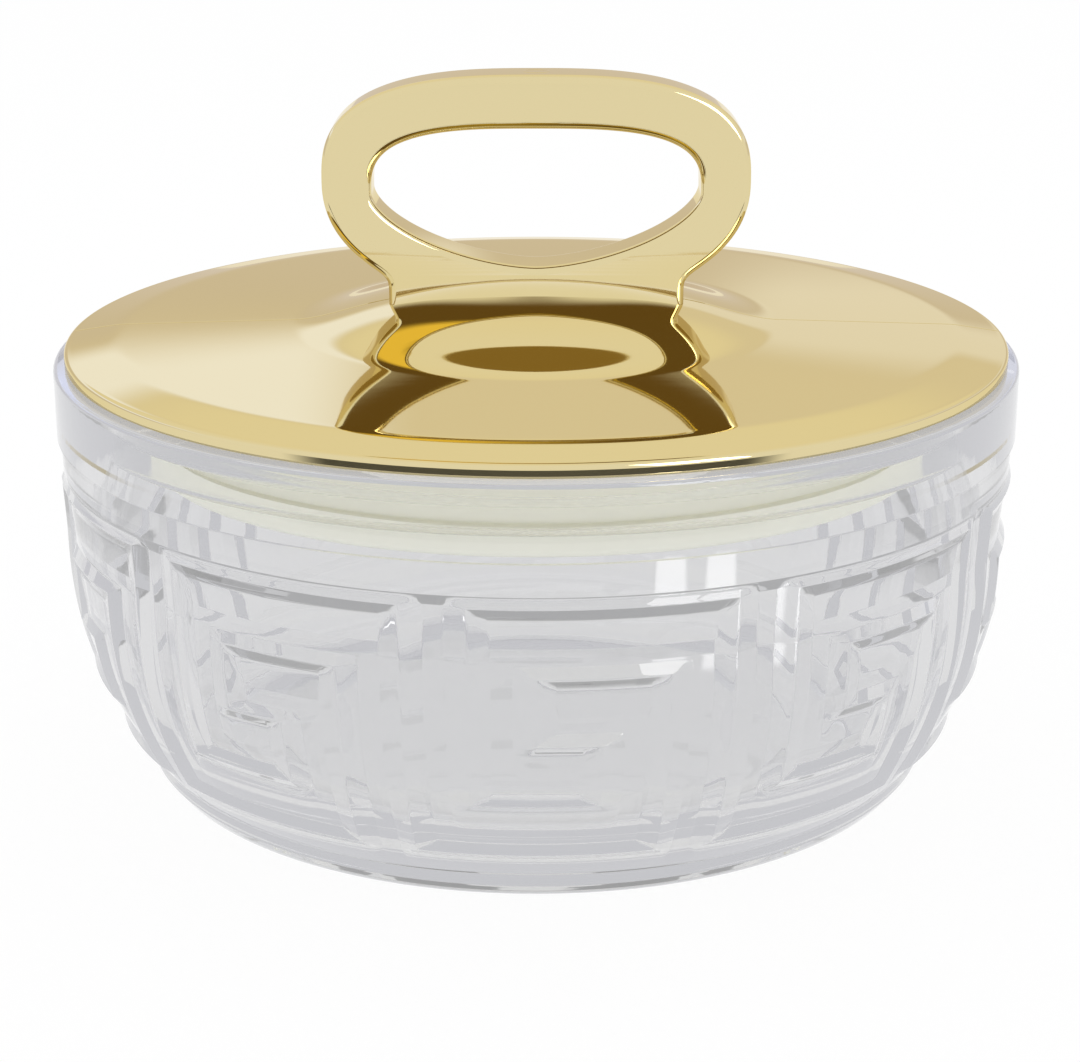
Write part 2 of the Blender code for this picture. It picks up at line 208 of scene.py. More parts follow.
def make_finish(name, roughness, spread, patch_scale, mark_scale, bump):
    """A Principled material whose roughness and fine bump come from the handling marks."""
    finish = bpy.data.materials.new(name)
    finish.use_nodes = True
    nodes = finish.node_tree.nodes
    link = finish.node_tree.links.new
    shader = nodes["Principled BSDF"]
    marks = nodes.new('ShaderNodeGroup')
    marks.node_tree = handling_marks
    marks.inputs["Base Roughness"].default_value = roughness
    marks.inputs["Spread"].default_value = spread
    marks.inputs["Patch Scale"].default_value = patch_scale
    marks.inputs["Mark Scale"].default_value = mark_scale
    fine_bump = nodes.new('ShaderNodeBump')
    fine_bump.inputs["Strength"].default_value = bump
    fine_bump.inputs["Distance"].default_value = MARK_HEIGHT
    link(marks.outputs["Roughness"], shader.inputs["Roughness"])
    link(marks.outputs["Height"], fine_bump.inputs["Height"])
    link(fine_bump.outputs["Normal"], shader.inputs["Normal"])
    print("finish", name)
    return finish, shader


print("finishes start from", make_finish.__name__)

# %% [markdown]
# ## Clear moulded plastic for the bowl
# The bowl is thick clear plastic. It bends light with an index of 1.49, and each wall takes a little of
# it, slightly less at the blue end. Two things help a clear piece to render well. Light through a bent
# wall would make slow, noisy caustics, so the rays that light a matte piece meet a plain see-through
# shader instead, and the plug inside is lit softly. And a ray that is caught in a thick wall ends black
# when its bounces run out, though on a real jar it would come out somewhere in the pale room. So after
# a few bounces the wall glows for such a ray with painted light in the room's own tone.

# %% Clear plastic
CLEAR_COLOUR = (0.963, 0.964, 0.972, 1.0)
CLEAR_INDEX = 1.49
CLEAR_SHADOW = (0.97, 0.97, 0.975, 1.0)
PAINTED_GLOW_TONE = (0.55, 0.553, 0.575, 1.0)
CAUGHT_AFTER = 4.5


def clear_the_way(finish, tint):
    """Let the light for matte pieces pass a clear finish, and give caught rays a painted glow."""
    nodes = finish.node_tree.nodes
    link = finish.node_tree.links.new
    path = nodes.new('ShaderNodeLightPath')
    caught = nodes.new('ShaderNodeMath')
    caught.operation = 'GREATER_THAN'
    caught.inputs[1].default_value = CAUGHT_AFTER
    link(path.outputs["Ray Depth"], caught.inputs[0])
    # Painted glow: the clear wall gives caught rays the room's tone as its own light.
    room = nodes.new('ShaderNodeEmission')
    room.inputs["Color"].default_value = PAINTED_GLOW_TONE
    open_way = nodes.new('ShaderNodeBsdfTransparent')
    open_way.inputs["Color"].default_value = tint
    seen = nodes.new('ShaderNodeMixShader')
    link(caught.outputs[0], seen.inputs["Fac"])
    link(nodes["Principled BSDF"].outputs[0], seen.inputs[1])
    link(room.outputs[0], seen.inputs[2])
    lights_matte = nodes.new('ShaderNodeMath')
    lights_matte.use_clamp = True
    link(path.outputs["Is Shadow Ray"], lights_matte.inputs[0])
    link(path.outputs["Diffuse Depth"], lights_matte.inputs[1])
    choose = nodes.new('ShaderNodeMixShader')
    link(lights_matte.outputs[0], choose.inputs["Fac"])
    link(seen.outputs[0], choose.inputs[1])
    link(open_way.outputs[0], choose.inputs[2])
    link(choose.outputs[0], nodes["Material Output"].inputs["Surface"])


clear_wall, clear_shader = make_finish(
    "ClearWall", roughness=0.015, spread=0.01, patch_scale=30.0, mark_scale=400.0, bump=0.02)
clear_shader.inputs["Base Color"].default_value = CLEAR_COLOUR
clear_shader.inputs["IOR"].default_value = CLEAR_INDEX
clear_shader.inputs["Transmission Weight"].default_value = 1.0
clear_the_way(clear_wall, CLEAR_SHADOW)

# %% [markdown]
# ## The wall of the bowl
# The wall hangs nearly straight from the rim and turns in late, towards a much narrower foot. A bezier
# could be bent to that by eye, but one power curve says it with two numbers. The relief is laid out
# along the wall, as a mould maker would measure it, so the wall is measured from the rim plane down.

# %% Wall of the bowl
BAND_HEIGHT = 0.0092
BELLY_DROP = 0.0220
WALL_TAPER = 0.00065
BELLY_INSET = 0.0126
BELLY_POWER = 2.43
WALL_SAMPLES = 1200
BELLY_Z = BOWL_HEIGHT - BELLY_DROP
BELLY_RADIUS = RIM_RADIUS - WALL_TAPER


def wall_radius(z):
    """Outside radius of the wall, at the level of the key's line."""
    taper = np.clip((z - BELLY_Z) / (BELLY_DROP - BAND_HEIGHT), 0.0, 1.0)
    turn_in = np.clip((BELLY_Z - z) / BELLY_Z, 0.0, 1.0)
    return BELLY_RADIUS + WALL_TAPER * taper - BELLY_INSET * turn_in ** BELLY_POWER


wall_z = np.linspace(BOWL_HEIGHT, 0.0, WALL_SAMPLES)
wall_r = wall_radius(wall_z)
wall_s = np.concatenate([[0.0], np.cumsum(np.hypot(np.diff(wall_z), np.diff(wall_r)))])
wall_dr = np.gradient(wall_r, wall_s)
wall_dz = np.gradient(wall_z, wall_s)
print(f"wall is {wall_s[-1] * 1000:.1f} mm from rim to table")

# %% [markdown]
# ## The key's line
# The relief is one raised line that winds round the bowl as a square key, ten times. A drawing of the
# key would be a long list of points. Here a small map of cells stands for it: the line runs wherever
# two unlike cells meet, and everything else follows from that map.

# %% Key map
KEY_UNITS = 10
KEY_ROWS = ("#....", "#.##.", "#..#.", "####.")
KEY_TOP = 0.0150
KEY_BOTTOM = 0.0500
CELLS = len(KEY_ROWS[0])
CELL_ANGLE = math.tau / (KEY_UNITS * CELLS)
CELLS_BEFORE_FRONT = 2
NEIGHBOUR_UNITS = (-CELLS, 0, CELLS)
row_edges = np.linspace(KEY_TOP, KEY_BOTTOM, len(KEY_ROWS) + 1)


def key_lines():
    """Straight pieces of the line: left and right in cells, top and bottom along the wall."""
    rows = ["#" * CELLS, *KEY_ROWS, "." * CELLS]
    lines = []
    for unit_start in NEIGHBOUR_UNITS:
        for column in range(CELLS):
            left = unit_start + column
            for edge, s in enumerate(row_edges):
                if rows[edge][column] != rows[edge + 1][column]:
                    lines.append((left, left + 1, s, s))
            for row, marks in enumerate(KEY_ROWS):
                if marks[column - 1] != marks[column]:
                    lines.append((left, left, row_edges[row], row_edges[row + 1]))
    return lines


KEY_LINES = key_lines()
print(f"key: {KEY_UNITS} units, {len(KEY_LINES) // len(NEIGHBOUR_UNITS)} straight pieces in one")

# %% [markdown]
# ## The slopes beside the line
# Above a level piece of the line the channel rises steeply. Below it a short steep strip runs out softly
# into a long gentle slope, and beside an upright piece lie two even slopes. Where slopes meet they are
# mitred. A displacement map would blur those mitres, so the depth is worked out for each point of the
# mesh: every slope is a number from 0 on the line to 1 on the channel's floor, and the least one wins.

# %% Depth of the relief
KEY_DEPTH = 0.0008
KEY_SHOULDER = 0.0570
BAND_STEP = 0.0004
UPPER_FLANK = 0.0014
LOWER_FLANK = 0.0052
STRIP = 0.0015
STRIP_DROP = 0.76
STRIP_FADE = 0.16
SIDE_FLANKS_PER_CELL = 3
CREST_ROUND = 0.03
MITRE_POWER = 5


def rounded(slope):
    """Take the knife edge off the crest of a slope."""
    return np.sqrt(slope ** 2 + CREST_ROUND ** 2) - CREST_ROUND


def soft_least(first, second):
    """The lesser of two numbers, with a short parabola where they are close to each other."""
    bend = max(STRIP_FADE - abs(first - second), 0.0) / STRIP_FADE
    return min(first, second) - 0.25 * STRIP_FADE * bend ** 2


def fall(s, top, bottom):
    """Slope above or below a piece of the line."""
    if s < top:
        return rounded((top - s) / UPPER_FLANK)
    down = s - bottom
    strip = STRIP_DROP * down / STRIP
    gentle = STRIP_DROP + (1.0 - STRIP_DROP) * (down - STRIP) / (LOWER_FLANK - STRIP)
    return rounded(min(max(soft_least(strip, gentle), 0.0), 1.0))


def key_depth(column, s):
    """Depth below the wall for columns of one unit, in cells, at a distance down the wall."""
    depth = np.ones(column.shape)
    for left, right, top, bottom in KEY_LINES:
        away = np.maximum(np.maximum(left - column, column - right), 0.0)
        side = rounded(away * SIDE_FLANKS_PER_CELL)
        mitred = (side ** MITRE_POWER + fall(s, top, bottom) ** MITRE_POWER) ** (1 / MITRE_POWER)
        depth = np.minimum(depth, mitred)
    if s > KEY_BOTTOM:
        depth = np.minimum(depth, rounded(max(KEY_SHOULDER - s, 0.0) / UPPER_FLANK))
    groove_ends = (BAND_HEIGHT, BAND_HEIGHT + BAND_STEP, KEY_TOP - UPPER_FLANK, KEY_TOP)
    groove = np.interp(s, groove_ends, (0.0, BAND_STEP, BAND_STEP, KEY_DEPTH))
    return np.minimum(KEY_DEPTH * depth, groove)


print(f"relief: up to {KEY_DEPTH * 1000:.1f} mm deep")

# %% [markdown]
# ## Where the mesh needs points
# A relief with crisp slopes needs points close together at each crest and corner, and few between them.
# An even grid that fine would have millions of faces. So the rows and columns crowd round the places
# where a slope starts or ends.

# %% Rows and columns
CROWD_STEPS = 2
PLACE_DIGITS = 6
COLUMN_REACH = 0.04
COLUMNS_PER_CELL = 10
ROW_REACH = 0.0003
EVEN_ROWS = 60
CHAMFER_LENGTH = 0.0022


def crowded(corners, reach, low, high, fill):
    """Places from low to high, even ones and others that crowd round each corner within a reach."""
    part = np.arange(-CROWD_STEPS, CROWD_STEPS + 1) / CROWD_STEPS
    close = np.add.outer(np.asarray(corners), reach * part * np.abs(part)).ravel()
    places = np.concatenate([close, np.linspace(low, high, fill)])
    return np.unique(np.round(places[(places >= low) & (places <= high)], PLACE_DIGITS))


flank_ends = np.arange(SIDE_FLANKS_PER_CELL * CELLS + 1) / SIDE_FLANKS_PER_CELL
unit_columns = crowded(flank_ends, COLUMN_REACH, 0.0, CELLS, COLUMNS_PER_CELL * CELLS + 1)[:-1]
levels_to_crowd = [BAND_HEIGHT, BAND_HEIGHT + BAND_STEP, KEY_SHOULDER - UPPER_FLANK, KEY_SHOULDER]
for edge in row_edges:
    levels_to_crowd.extend([edge - UPPER_FLANK, edge, edge + STRIP, edge + LOWER_FLANK])
relief_end = wall_s[-1] - CHAMFER_LENGTH
wall_levels = crowded(levels_to_crowd, ROW_REACH, BAND_HEIGHT, relief_end, EVEN_ROWS)
all_columns = np.add.outer(np.arange(KEY_UNITS) * CELLS, unit_columns).ravel()
bowl_angles = (all_columns - CELLS_BEFORE_FRONT) * CELL_ANGLE
print(f"relief: {len(wall_levels)} rows, {len(bowl_angles)} columns")

# %% [markdown]
# ## The bowl
# The outside follows the wall and its relief. The inside is smooth, so that powder comes out clean, with
# a large soft corner, and the foot is a narrow ring round a shallow hollow. The rings run from the
# middle of the inside floor, up and over the rim, down the relief and under the foot.

# %% Bowl mesh
FLOOR_Z = 0.0050
FOOT_RADIUS = 0.0498
FLOOR_INSET = 0.0190
FLOOR_RADIUS = FOOT_RADIUS - FLOOR_INSET
CORNER_POWER = 3.0
CORNER_STEPS = 40
RIM_WALL = 0.0040
INNER_RADIUS = RIM_RADIUS - RIM_WALL
RIM_ROUND = 0.0006
FOOT_EDGE = 0.0004
FOOT_RIM = 0.0045
FOOT_RECESS = 0.0010


def inside_rings():
    """The inside, from the middle of the floor up to the rounded inner edge of the rim."""
    turn = np.radians(np.linspace(0.0, 90.0, CORNER_STEPS))
    r = FLOOR_RADIUS + (INNER_RADIUS - FLOOR_RADIUS) * np.sin(turn) ** (2 / CORNER_POWER)
    z = BELLY_Z - (BELLY_Z - FLOOR_Z) * np.cos(turn) ** (2 / CORNER_POWER)
    middle = [(0.0, FLOOR_Z), (0.5 * FLOOR_RADIUS, FLOOR_Z)]
    edge = arc((INNER_RADIUS + RIM_ROUND, BOWL_HEIGHT - RIM_ROUND), RIM_ROUND, 180, 90, 5)
    return middle + list(zip(r, z)) + edge


def relief_rings():
    """The outside wall, sunk square to itself by the depth of the relief."""
    rings = []
    for s in wall_levels:
        depth = np.tile(key_depth(unit_columns, s), KEY_UNITS)
        radii = np.interp(s, wall_s, wall_r) + depth * np.interp(s, wall_s, wall_dz)
        heights = np.interp(s, wall_s, wall_z) - depth * np.interp(s, wall_s, wall_dr)
        rings.append((radii, heights))
    return rings


rim_edge = arc((RIM_RADIUS - RIM_ROUND, BOWL_HEIGHT - RIM_ROUND), RIM_ROUND, 90, 0, 6)
foot_edge = arc((FOOT_RADIUS - FOOT_EDGE, FOOT_EDGE), FOOT_EDGE, 0, -90, 5)
foot_inside = FOOT_RADIUS - FOOT_RIM
hollow = [(foot_inside, 0.0), (foot_inside - FOOT_RECESS, FOOT_RECESS), (0.0, FOOT_RECESS)]
bowl_rings = inside_rings() + rim_edge + relief_rings() + foot_edge + hollow
bowl_mesh = ring_mesh("bowl_clear", bowl_rings, bowl_angles)
add_piece("bowl_clear", bowl_mesh, clear_wall, "bowl", "bowl", "clear_wall")

# %% [markdown]
# ## Gold plating
# The lid is plastic with a bright gold plating: a mirror with a warm tint. Where it reflects itself,
# between the lid and the handle, the tint counts twice and turns to deep yellow. A metallic shader does
# that by itself, so no second colour is painted in.

# %% Gold plating
GOLD_COLOUR = (0.74, 0.635, 0.36, 1.0)
GOLD_GLANCE = (0.92, 0.84, 0.62, 1.0)
gold, gold_shader = make_finish(
    "PlatedGold", roughness=0.035, spread=0.02, patch_scale=25.0, mark_scale=300.0, bump=0.01)
gold_shader.inputs["Base Color"].default_value = GOLD_COLOUR
gold_shader.inputs["Specular Tint"].default_value = GOLD_GLANCE
gold_shader.inputs["Metallic"].default_value = 1.0

# %% [markdown]
# ## The lid
# The lid is a shallow cone with a steeper margin, and a soft swelling in its middle carries the handle.
# The swelling is half a wave of a cosine, drawn towards its foot by a power, so it joins the plate and
# its own top without a crease, which would show at once in a mirror finish. The slopes were read from
# the mirror image of the handle in the lid, which tells them to a degree. The shape stays within 0.8 mm
# of the plainer solid. Two rings close to the ends of the upright edge keep its shading flat, and
# underneath is a short ring that holds the plug.

# %% Lid shell
LID_EDGE = 0.0016
LID_EDGE_ROUND = 0.0006
LOWER_EDGE_ROUND = 0.0003
EDGE_HOLD = 0.00003
LID_WALL = 0.0020
PLATE_SLOPE = 0.028
MARGIN_RADIUS = 0.0568
MARGIN_SLOPE = 0.155
MARGIN_BLEND = 0.0004
MOUND_RADIUS = 0.0330
MOUND_HEIGHT = 0.0033
MOUND_POWER = 2.2
SPIGOT_INSET = 0.0025
SPIGOT_RADIUS = PLUG_RADIUS - SPIGOT_INSET
SPIGOT_WALL = 0.0020
LID_TOP_RINGS = 130
LID_COLUMNS = 288


def margin_run(r):
    """How far a radius lies out in the margin, with a soft start."""
    return MARGIN_BLEND * math.log1p(math.exp((r - MARGIN_RADIUS) / MARGIN_BLEND))


def plate_z(r):
    """Top of the plain plate of the lid, which falls more steeply in its margin."""
    margin_rise = (MARGIN_SLOPE - PLATE_SLOPE) * (margin_run(LID_RADIUS) - margin_run(r))
    return LID_Z + LID_EDGE + PLATE_SLOPE * (LID_RADIUS - r) + margin_rise


def lid_top_z(r):
    """Top of the lid: the plate and the swelling in its middle."""
    t = min(r / MOUND_RADIUS, 1.0) ** MOUND_POWER
    return plate_z(r) + MOUND_HEIGHT * 0.5 * (1.0 + math.cos(math.pi * t))


def lid_rings():
    """The shell from the middle of its top, round the edge, to the middle of its underside."""
    plain = LID_RADIUS - LID_EDGE_ROUND
    rings = [(r, lid_top_z(r)) for r in np.linspace(0.0, plain, LID_TOP_RINGS)]
    edge_z = lid_top_z(plain) - LID_EDGE_ROUND
    rings += arc((plain, edge_z), LID_EDGE_ROUND, 84, 0, 8)
    lower_z = LID_Z + LOWER_EDGE_ROUND
    rings += [(LID_RADIUS, edge_z - EDGE_HOLD), (LID_RADIUS, lower_z + EDGE_HOLD)]
    rings += arc((LID_RADIUS - LOWER_EDGE_ROUND, lower_z), LOWER_EDGE_ROUND, 0, -90, 4)
    spigot_inside = SPIGOT_RADIUS - SPIGOT_WALL
    rings += [(SPIGOT_RADIUS, LID_Z), (SPIGOT_RADIUS, lid_low[2]), (spigot_inside, lid_low[2])]
    rings += [(spigot_inside, plate_z(spigot_inside) - LID_WALL), (0.0, plate_z(0.0) - LID_WALL)]
    return rings


LID_TOP = lid_top_z(0.0)
lid_mesh = ring_mesh("lid_shell", lid_rings(), even_angles(LID_COLUMNS))
add_piece("lid_shell", lid_mesh, gold, "lid", "lid", "plated_gold")

# %% [markdown]
# ## The outline of the handle
# The loop is an oval that is squarer above than below, on a short neck with sharp corners, and its
# finger opening is flatter at the top than at the bottom. Two half ovals with their own powers give
# each outline from a few numbers.

# %% Handle outline
HANDLE_WIDTH = 0.0570
NECK_WIDTH = 0.0396
NECK_SOFTNESS = 22
LOOP_SINK = 0.0015
SIDE_BAR = 0.0066
TOP_BAR = 0.0071
BASE_BAR = 0.0038
LOOP_WIDEST = 0.54
LOOP_POWERS = (2.8, 2.2)
OPENING_WIDEST = 0.535
OPENING_POWERS = (3.1, 1.65)
OUTLINE_STEPS = 81
ON_AXIS = 1e-6


def oval_side(half_width, top_z, bottom_z, widest, top_power, base_power):
    """Right side of a rounded outline from top to bottom, squarer where the power is higher."""
    widest_z = bottom_z + widest * (top_z - bottom_z)
    points = []
    for angle in np.radians(np.linspace(90, -90, OUTLINE_STEPS)):
        power = top_power if angle >= 0 else base_power
        end_z = top_z if angle >= 0 else bottom_z
        x = half_width * abs(math.cos(angle)) ** (2 / power)
        points.append((x, widest_z + (end_z - widest_z) * abs(math.sin(angle)) ** (2 / power)))
    return points


def mirrored(right_side):
    """Close an outline from its right side."""
    return right_side + [(-x, z) for x, z in reversed(right_side) if x > ON_AXIS]


def handle_outline():
    """The loop and its neck, down into the lid."""
    neck = 0.5 * NECK_WIDTH
    loop = oval_side(0.5 * HANDLE_WIDTH, HANDLE_TOP, LID_TOP - LOOP_SINK, LOOP_WIDEST, *LOOP_POWERS)
    middle = OUTLINE_STEPS // 2
    lower = []
    for x, z in loop[middle:]:
        lower.append(((x ** NECK_SOFTNESS + neck ** NECK_SOFTNESS) ** (1 / NECK_SOFTNESS), z))
    return mirrored(loop[:middle] + lower + [(neck, plate_z(neck))])


def opening_outline():
    """The finger opening."""
    half_width = 0.5 * HANDLE_WIDTH - SIDE_BAR
    top_z = HANDLE_TOP - TOP_BAR
    bottom_z = LID_TOP + BASE_BAR
    return mirrored(oval_side(half_width, top_z, bottom_z, OPENING_WIDEST, *OPENING_POWERS))


print(f"handle outline: {len(handle_outline())} points, opening: {len(opening_outline())} points")

# %% [markdown]
# ## The loop handle
# A filled 2D curve with thickness and a bevel gives the loop flat faces and the same soft radius along
# all its long edges. It is made a mesh, stood upright and joined to the lid by eye alone: the neck runs
# down into the lid, as on the one-piece moulding. Weighted normals keep the flat faces mirror flat.

# %% Handle
HANDLE_THICKNESS = 0.0080
HANDLE_ROUND = 0.0010
HANDLE_ROUND_STEPS = 5
HANDLE_JOIN = 1e-6


def handle_mesh():
    """The loop as a mesh that stands upright in the XZ plane."""
    curve = bpy.data.curves.new("handle_outline", 'CURVE')
    curve.dimensions = '2D'
    curve.fill_mode = 'BOTH'
    curve.extrude = 0.5 * HANDLE_THICKNESS - HANDLE_ROUND
    curve.bevel_depth = HANDLE_ROUND
    curve.bevel_resolution = HANDLE_ROUND_STEPS
    curve.offset = -HANDLE_ROUND
    for outline in (handle_outline(), opening_outline()):
        spline = curve.splines.new('POLY')
        spline.points.add(len(outline) - 1)
        for point, (x, z) in zip(spline.points, outline):
            point.co = (x, z, 0.0, 1.0)
        spline.use_cyclic_u = True
    blank = bpy.data.objects.new("handle_blank", curve)
    bpy.context.scene.collection.objects.link(blank)
    mesh = bpy.data.meshes.new_from_object(blank.evaluated_get(bpy.context.evaluated_depsgraph_get()))
    bpy.data.objects.remove(blank)
    bm = bmesh.new()
    bm.from_mesh(mesh)
    bmesh.ops.remove_doubles(bm, verts=bm.verts, dist=HANDLE_JOIN)
    bmesh.ops.rotate(bm, verts=bm.verts, matrix=Matrix.Rotation(math.radians(90), 3, 'X'))
    bmesh.ops.recalc_face_normals(bm, faces=bm.faces)
    bm.to_mesh(mesh)
    bm.free()
    return mesh


handle = add_piece("lid_handle", handle_mesh(), gold, "lid", "lid", "plated_gold")
flat_faces = handle.modifiers.new("Flat faces", 'WEIGHTED_NORMAL')
flat_faces.keep_sharp = True

# %% [markdown]
# ## Parting line
# The lid and handle come out of a mould in two halves, which leave a hair-fine ridge across the lid, in
# line with the handle. A bump texture would be too soft for such a fine edge under a mirror finish, so
# the ridge is a thin piece of geometry on each side, sunk slightly into the plating.

# %% Parting line
SEAM_HALF_WIDTH = 0.00013
SEAM_HEIGHT = 0.00004
SEAM_SINK = 0.00010
SEAM_STEPS = 60


def seam_mesh(side):
    """A thin ridge from the neck to the lid's edge, on the side given by its sign."""
    bm = bmesh.new()
    rows = []
    for r in np.linspace(0.5 * NECK_WIDTH - HANDLE_ROUND, LID_RADIUS - LID_EDGE_ROUND, SEAM_STEPS):
        foot = lid_top_z(r) - SEAM_SINK
        crest = lid_top_z(r) + SEAM_HEIGHT
        section = ((-SEAM_HALF_WIDTH, foot), (0.0, crest), (SEAM_HALF_WIDTH, foot))
        rows.append([bm.verts.new((side * r, y, z)) for y, z in section])
    for first, second in zip(rows[:-1], rows[1:]):
        for i in range(len(first)):
            j = (i + 1) % len(first)
            bm.faces.new((first[i], first[j], second[j], second[i]))
    bm.faces.new(rows[0])
    bm.faces.new(rows[-1])
    bmesh.ops.recalc_face_normals(bm, faces=bm.faces)
    mesh = bpy.data.meshes.new("lid_seam")
    bm.to_mesh(mesh)
    bm.free()
    return mesh


for label, side in (("left", -1), ("right", 1)):
    add_piece("lid_seam_" + label, seam_mesh(side), gold, "lid", "lid", "plated_gold")

# %% [markdown]
# ## Gate mark
# The plastic went into the mould through the top of the loop, where a small ring shows. A boolean cut
# would break up the smooth bevel of the handle, so the ring is a tiny turned piece of its own.

# %% Gate mark
GATE_RADIUS = 0.0019
GATE_HEIGHT = 0.00012
GATE_COLUMNS = 64
gate_section = ((0.0, -0.3), (0.55, -0.5), (0.8, 0.5), (1.0, -0.2), (1.0, -2.0), (0.0, -2.0))
gate_rings = [(GATE_RADIUS * r, HANDLE_TOP + GATE_HEIGHT * z) for r, z in gate_section]
gate_mesh = ring_mesh("lid_gate_mark", gate_rings, even_angles(GATE_COLUMNS))
add_piece("lid_gate_mark", gate_mesh, gold, "lid", "lid", "plated_gold")

# %% [markdown]
# ## Ivory plug
# Under the lid hangs a pan of ivory plastic that closes the bowl's mouth. It shows as a pale band
# through the clear wall. Its skin is satin, and it is moulded, so its lower edge is rounded, and round
# its skirt runs the groove for the seal. A turned profile gives all of that.

# %% Plug
IVORY_COLOUR = (0.865, 0.87, 0.76, 1.0)
ivory, ivory_shader = make_finish(
    "IvoryPlug", roughness=0.45, spread=0.10, patch_scale=80.0, mark_scale=1500.0, bump=0.05)
ivory_shader.inputs["Base Color"].default_value = IVORY_COLOUR

PLUG_COLUMNS = 192
PLUG_SKIRT = 0.0022
PLUG_FLOOR = 0.0018
PLUG_ROUND = 0.0010
GROOVE_DROP = 0.0035
GROOVE_HEIGHT = 0.0050
GROOVE_DEPTH = 0.0009
GROOVE_TOP = LID_Z - GROOVE_DROP
GROOVE_BOTTOM = GROOVE_TOP - GROOVE_HEIGHT
GROOVE_RADIUS = PLUG_RADIUS - GROOVE_DEPTH

plug_inside = PLUG_RADIUS - PLUG_SKIRT
plug_floor = PLUG_BOTTOM + PLUG_FLOOR
plug_rings = [(0.0, plug_floor), (plug_inside, plug_floor), (plug_inside, PLUG_TOP)]
plug_rings += [(PLUG_RADIUS, PLUG_TOP), (PLUG_RADIUS, GROOVE_TOP), (GROOVE_RADIUS, GROOVE_TOP)]
plug_rings += [(GROOVE_RADIUS, GROOVE_BOTTOM), (PLUG_RADIUS, GROOVE_BOTTOM)]
plug_rings += arc((PLUG_RADIUS - PLUG_ROUND, PLUG_BOTTOM + PLUG_ROUND), PLUG_ROUND, 0, -90, 8)
plug_rings.append((0.0, PLUG_BOTTOM))
plug_mesh = ring_mesh("plug_ivory", plug_rings, even_angles(PLUG_COLUMNS))
add_piece("plug_ivory", plug_mesh, ivory, "lid", "lid_plug", "ivory_plug")

# %% [markdown]
# ## Clear seal
# A band of clear soft rubber sits in the plug's groove, with two thin lips that reach for the wall. It is
# clear and lies against clear plastic, so on the real jar only its edges show. A low index keeps it just
# as quiet here.

# %% Seal
SEAL_COLOUR = (0.99, 0.99, 0.985, 1.0)
SEAL_INDEX = 1.06
soft_clear, soft_shader = make_finish(
    "ClearSeal", roughness=0.12, spread=0.05, patch_scale=80.0, mark_scale=1500.0, bump=0.03)
soft_shader.inputs["Base Color"].default_value = SEAL_COLOUR
soft_shader.inputs["IOR"].default_value = SEAL_INDEX
soft_shader.inputs["Transmission Weight"].default_value = 1.0
clear_the_way(soft_clear, SEAL_COLOUR)

SEAL_COLUMNS = 192
SEAL_GAP = 0.0003
SEAL_BODY = 0.0014
LIP_ROOT = 0.0010
LIP_TIP = 0.0006
LIP_LIFT = 0.0008
seal_inner = GROOVE_RADIUS + SEAL_GAP
seal_body = seal_inner + SEAL_BODY
seal_top = GROOVE_TOP - SEAL_GAP
seal_bottom = GROOVE_BOTTOM + SEAL_GAP


def lip(upper_z, lower_z):
    """A lip that rises to a rounded tip, from its root's upper edge to its lower edge."""
    tip_z = lower_z + LIP_LIFT + 0.5 * LIP_TIP
    round_tip = arc((SEAL_TIP - 0.5 * LIP_TIP, tip_z), 0.5 * LIP_TIP, 90, -90, 7)
    return [(seal_body, upper_z)] + round_tip + [(seal_body, lower_z)]


seal_rings = [(seal_inner, seal_top)]
seal_rings += lip(seal_top, seal_top - LIP_ROOT) + lip(seal_bottom + LIP_ROOT, seal_bottom)
seal_rings += [(seal_inner, seal_bottom), (seal_inner, seal_top)]
seal_mesh = ring_mesh("seal_clear", seal_rings, even_angles(SEAL_COLUMNS))
add_piece("seal_clear", seal_mesh, soft_clear, "seal", "seal_ring", "clear_seal")

# %% [markdown]
# ## Helpers for masks
# The table and the room show different tones to different rays. That takes three small steps again and
# again: mix two numbers, change softly from 0 to 1, and tell what is seen through clear plastic from the
# light that falls on matte pieces. Node groups could hold them, but Light Path has to stay outside a
# group, so each step is a short function that adds its nodes where it is called.

# %% Mask helpers
NO_BOUNCE = 0.5


def mix_values(nodes, link, low, high, factor):
    """A Mix node between two numbers or sockets."""
    node = nodes.new('ShaderNodeMix')
    for label, value in (("A", low), ("B", high), ("Factor", factor)):
        if isinstance(value, float):
            node.inputs[label].default_value = value
        else:
            link(value, node.inputs[label])
    return node.outputs["Result"]


def soft_step(nodes, link, value, start, end):
    """A smooth change from 0 at the start to 1 at the end."""
    node = nodes.new('ShaderNodeMapRange')
    node.interpolation_type = 'SMOOTHSTEP'
    node.inputs["From Min"].default_value = min(start, end)
    node.inputs["From Max"].default_value = max(start, end)
    node.inputs["To Min"].default_value = float(start > end)
    node.inputs["To Max"].default_value = float(start < end)
    link(value, node.inputs["Value"])
    return node.outputs["Result"]


def seen_through(nodes, link, path):
    """1 for what is seen through clear plastic, and 0 for the light that falls on matte pieces."""
    seen = nodes.new('ShaderNodeMath')
    seen.operation = 'LESS_THAN'
    seen.inputs[1].default_value = NO_BOUNCE
    link(path.outputs["Diffuse Depth"], seen.inputs[0])
    return mix_values(nodes, link, 0.0, seen.outputs[0], path.outputs["Is Transmission Ray"])


print("masks:", mix_values.__name__, soft_step.__name__, seen_through.__name__)
